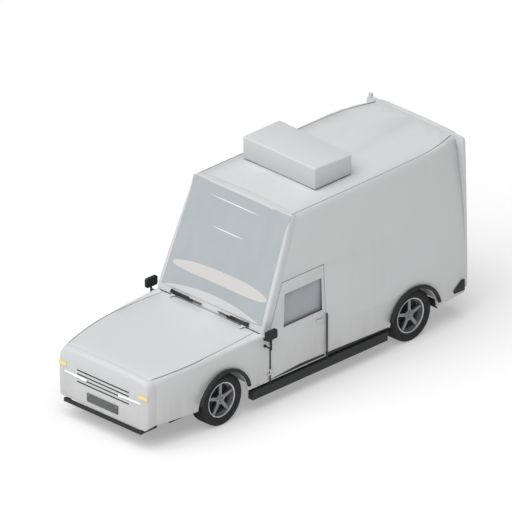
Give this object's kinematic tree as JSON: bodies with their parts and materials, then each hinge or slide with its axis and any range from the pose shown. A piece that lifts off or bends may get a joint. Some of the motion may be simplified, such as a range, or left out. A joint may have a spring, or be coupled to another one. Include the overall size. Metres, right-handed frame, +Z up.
{
  "type": "mail delivery truck",
  "caption": "Bonneted mail delivery van with a tall slab-sided body, front-hinged cab doors, twin rear doors and a roof cooling unit.",
  "frame": {"origin": "middle of the ground contact plane under the truck, at the centre of its overall length and width", "axes": "+Z up, +Y towards the rear, -Y the driving direction, +X the truck's left side"},
  "size_m": [2.162, 5.6, 2.7847],
  "materials": {
    "body_paint": "satin off-white paint",
    "liner_paint": "matt off-white",
    "chassis_steel": "black chassis paint",
    "floor_metal": "worn ribbed floor",
    "screen_glass": "tinted laminated",
    "door_glass": "tinted",
    "black_trim": "grained",
    "lamp_clear": "polished lens",
    "lamp_amber": "polished lens",
    "lamp_red": "polished lens",
    "plate_blank": "blank plate",
    "cab_plastic": "pale grained",
    "engine_metal": "cast",
    "tyre_rubber": "treaded",
    "alloy": "painted alloy",
    "wheel_grip": "grained",
    "seat_fabric": "woven",
    "pedal_rubber": "ribbed",
    "wiper_black": "satin black"
  },
  "bodies": {
    "chassis": {"chassis_frame": "chassis_steel", "floor_pan": "floor_metal", "wheel_housings": "liner_paint", "side_panel_left": "body_paint", "side_panel_right": "body_paint", "roof_panel": "body_paint", "cab_front_frame": "body_paint", "rear_portal": "body_paint", "windshield": "screen_glass", "nose_panel": "body_paint", "fender_left": "body_paint", "fender_right": "body_paint", "grille_slats": "black_trim", "headlamps": "lamp_clear", "marker_lamps": "lamp_amber", "number_plate": "plate_blank", "front_valance": "black_trim", "running_boards": "black_trim", "wheel_arch_trims": "black_trim", "rear_bumper": "black_trim", "tail_lamps": "lamp_red", "roof_unit_base": "black_trim", "roof_unit_cover": "body_paint", "mirror_arms": "black_trim", "dashboard": "cab_plastic", "engine": "engine_metal", "coil_springs": "chassis_steel", "leaf_springs": "chassis_steel"},
    "front_axle": {"front_axle_beam": "chassis_steel"},
    "rear_axle": {"rear_axle_housing": "chassis_steel"},
    "knuckle_left": {"knuckle_left": "chassis_steel"},
    "knuckle_right": {"knuckle_right": "chassis_steel"},
    "tie_rod": {"tie_rod": "chassis_steel"},
    "wheel_front_left": {"tyre_front_left": "tyre_rubber", "rim_front_left": "alloy"},
    "wheel_front_right": {"tyre_front_right": "tyre_rubber", "rim_front_right": "alloy"},
    "wheel_rear_left": {"tyre_rear_left": "tyre_rubber", "rim_rear_left": "alloy"},
    "wheel_rear_right": {"tyre_rear_right": "tyre_rubber", "rim_rear_right": "alloy"},
    "propshaft": {"propshaft": "chassis_steel"},
    "door_left": {"door_left": "body_paint"},
    "door_right": {"door_right": "body_paint"},
    "door_glass_left": {"door_glass_left": "door_glass"},
    "door_glass_right": {"door_glass_right": "door_glass"},
    "door_handle_left": {"door_handle_left": "body_paint"},
    "door_handle_right": {"door_handle_right": "body_paint"},
    "rear_door_left": {"rear_door_left": "body_paint"},
    "rear_door_right": {"rear_door_right": "body_paint"},
    "rear_door_handle": {"rear_door_handle": "black_trim"},
    "hood": {"hood": "body_paint"},
    "wiper_left": {"wiper_left": "wiper_black"},
    "wiper_right": {"wiper_right": "wiper_black"},
    "mirror_left": {"mirror_left": "black_trim"},
    "mirror_right": {"mirror_right": "black_trim"},
    "steering_wheel": {"steering_wheel": "wheel_grip"},
    "driver_seat": {"driver_seat": "seat_fabric"},
    "accelerator_pedal": {"accelerator_pedal": "pedal_rubber"},
    "brake_pedal": {"brake_pedal": "pedal_rubber"}
  },
  "joints": [
    {"name": "front_axle_travel", "type": "slide", "parent": "chassis", "child": "front_axle", "axis": [0, 0, 1], "range_m": [-0.025, 0.025], "stiffness_N_per_m": 200000, "springref_m": -0.04356, "deforming": ["coil_springs"]},
    {"name": "rear_axle_travel", "type": "slide", "parent": "chassis", "child": "rear_axle", "axis": [0, 0, 1], "range_m": [-0.04, 0.04], "stiffness_N_per_m": 200000, "springref_m": -0.05051, "deforming": ["leaf_springs"]},
    {"name": "steer_left", "type": "hinge", "parent": "front_axle", "child": "knuckle_left", "pos_m": [0.765, -1.575, 0.348], "axis": [0, 0, 1], "range_deg": [-25, 25]},
    {"name": "steer_right", "type": "hinge", "parent": "front_axle", "child": "knuckle_right", "pos_m": [-0.765, -1.575, 0.348], "axis": [0, 0, 1], "range_deg": [-25, 25]},
    {"name": "tie_rod_pivot", "type": "hinge", "parent": "knuckle_left", "child": "tie_rod", "pos_m": [0.765, -1.455, 0.336], "axis": [0, 0, 1], "range_deg": [-25, 25]},
    {"name": "wheel_front_left_spin", "type": "hinge", "parent": "knuckle_left", "child": "wheel_front_left", "pos_m": [0.79, -1.575, 0.348], "axis": [1, 0, 0], "continuous": true},
    {"name": "wheel_front_right_spin", "type": "hinge", "parent": "knuckle_right", "child": "wheel_front_right", "pos_m": [-0.79, -1.575, 0.348], "axis": [1, 0, 0], "continuous": true},
    {"name": "wheel_rear_left_spin", "type": "hinge", "parent": "rear_axle", "child": "wheel_rear_left", "pos_m": [0.79, 1.765, 0.348], "axis": [1, 0, 0], "continuous": true},
    {"name": "wheel_rear_right_spin", "type": "hinge", "parent": "rear_axle", "child": "wheel_rear_right", "pos_m": [-0.79, 1.765, 0.348], "axis": [1, 0, 0], "continuous": true},
    {"name": "propshaft_spin", "type": "hinge", "parent": "chassis", "child": "propshaft", "pos_m": [0, -0.99, 0.385], "axis": [0, 0.9999, -0.0136], "continuous": true},
    {"name": "steering_wheel_turn", "type": "hinge", "parent": "chassis", "child": "steering_wheel", "pos_m": [-0.43, -0.82, 0.76], "axis": [0, 0.8192, 0.5736], "range_deg": [-350, 350]},
    {"name": "door_left_hinge", "type": "hinge", "parent": "chassis", "child": "door_left", "pos_m": [0.96, -0.781, 0.68], "axis": [0, 0, -1], "range_deg": [0, 70]},
    {"name": "door_glass_left_slide", "type": "slide", "parent": "door_left", "child": "door_glass_left", "axis": [0, 0, -1], "range_m": [0, 0.42]},
    {"name": "door_handle_left_pull", "type": "hinge", "parent": "door_left", "child": "door_handle_left", "pos_m": [0.96, 0.1, 0.905], "axis": [0, -1, 0], "range_deg": [0, 30], "stiffness_Nm_per_rad": 0.6},
    {"name": "rear_door_left_hinge", "type": "hinge", "parent": "chassis", "child": "rear_door_left", "pos_m": [0.728, 2.778, 1.45], "axis": [0, 0, -1], "range_deg": [0, 160]},
    {"name": "mirror_left_fold", "type": "hinge", "parent": "chassis", "child": "mirror_left", "pos_m": [1.06, -0.872, 1.067], "axis": [0, 0, -1], "range_deg": [0, 80]},
    {"name": "door_right_hinge", "type": "hinge", "parent": "chassis", "child": "door_right", "pos_m": [-0.96, -0.781, 0.68], "axis": [0, 0, 1], "range_deg": [0, 70]},
    {"name": "door_glass_right_slide", "type": "slide", "parent": "door_right", "child": "door_glass_right", "axis": [0, 0, -1], "range_m": [0, 0.42]},
    {"name": "door_handle_right_pull", "type": "hinge", "parent": "door_right", "child": "door_handle_right", "pos_m": [-0.96, 0.1, 0.905], "axis": [0, 1, 0], "range_deg": [0, 30], "stiffness_Nm_per_rad": 0.6},
    {"name": "rear_door_right_hinge", "type": "hinge", "parent": "chassis", "child": "rear_door_right", "pos_m": [-0.728, 2.778, 1.45], "axis": [0, 0, 1], "range_deg": [0, 160]},
    {"name": "mirror_right_fold", "type": "hinge", "parent": "chassis", "child": "mirror_right", "pos_m": [-1.06, -0.872, 1.067], "axis": [0, 0, 1], "range_deg": [0, 80]},
    {"name": "rear_door_handle_turn", "type": "hinge", "parent": "rear_door_left", "child": "rear_door_handle", "pos_m": [0.06, 2.765, 1.18], "axis": [0, -1, 0], "range_deg": [0, 90]},
    {"name": "hood_hinge", "type": "hinge", "parent": "chassis", "child": "hood", "pos_m": [0, -0.925, 1.052], "axis": [-1, 0, 0], "range_deg": [0, 55]},
    {"name": "wiper_left_sweep", "type": "hinge", "parent": "chassis", "child": "wiper_left", "pos_m": [0.665, -0.88332, 1.0903], "axis": [0, 0.9242, -0.382], "range_deg": [0, 85]},
    {"name": "wiper_right_sweep", "type": "hinge", "parent": "chassis", "child": "wiper_right", "pos_m": [-0.665, -0.88332, 1.0903], "axis": [0, -0.9242, 0.382], "range_deg": [0, 85]},
    {"name": "driver_seat_slide", "type": "slide", "parent": "chassis", "child": "driver_seat", "axis": [0, 1, 0], "range_m": [-0.08, 0.08]},
    {"name": "accelerator_press", "type": "hinge", "parent": "chassis", "child": "accelerator_pedal", "pos_m": [-0.52, -0.85, 0.78], "axis": [-1, 0, 0], "range_deg": [0, 15], "stiffness_Nm_per_rad": 8},
    {"name": "brake_press", "type": "hinge", "parent": "chassis", "child": "brake_pedal", "pos_m": [-0.34, -0.85, 0.78], "axis": [-1, 0, 0], "range_deg": [0, 15], "stiffness_Nm_per_rad": 12}
  ],
  "couplings": [
    {"joint": "steer_right", "follows": "steer_left", "ratio": 1},
    {"joint": "tie_rod_pivot", "follows": "steer_left", "ratio": -1},
    {"joint": "steering_wheel_turn", "follows": "steer_left", "ratio": 14},
    {"joint": "wiper_right_sweep", "follows": "wiper_left_sweep", "ratio": 1}
  ]
}
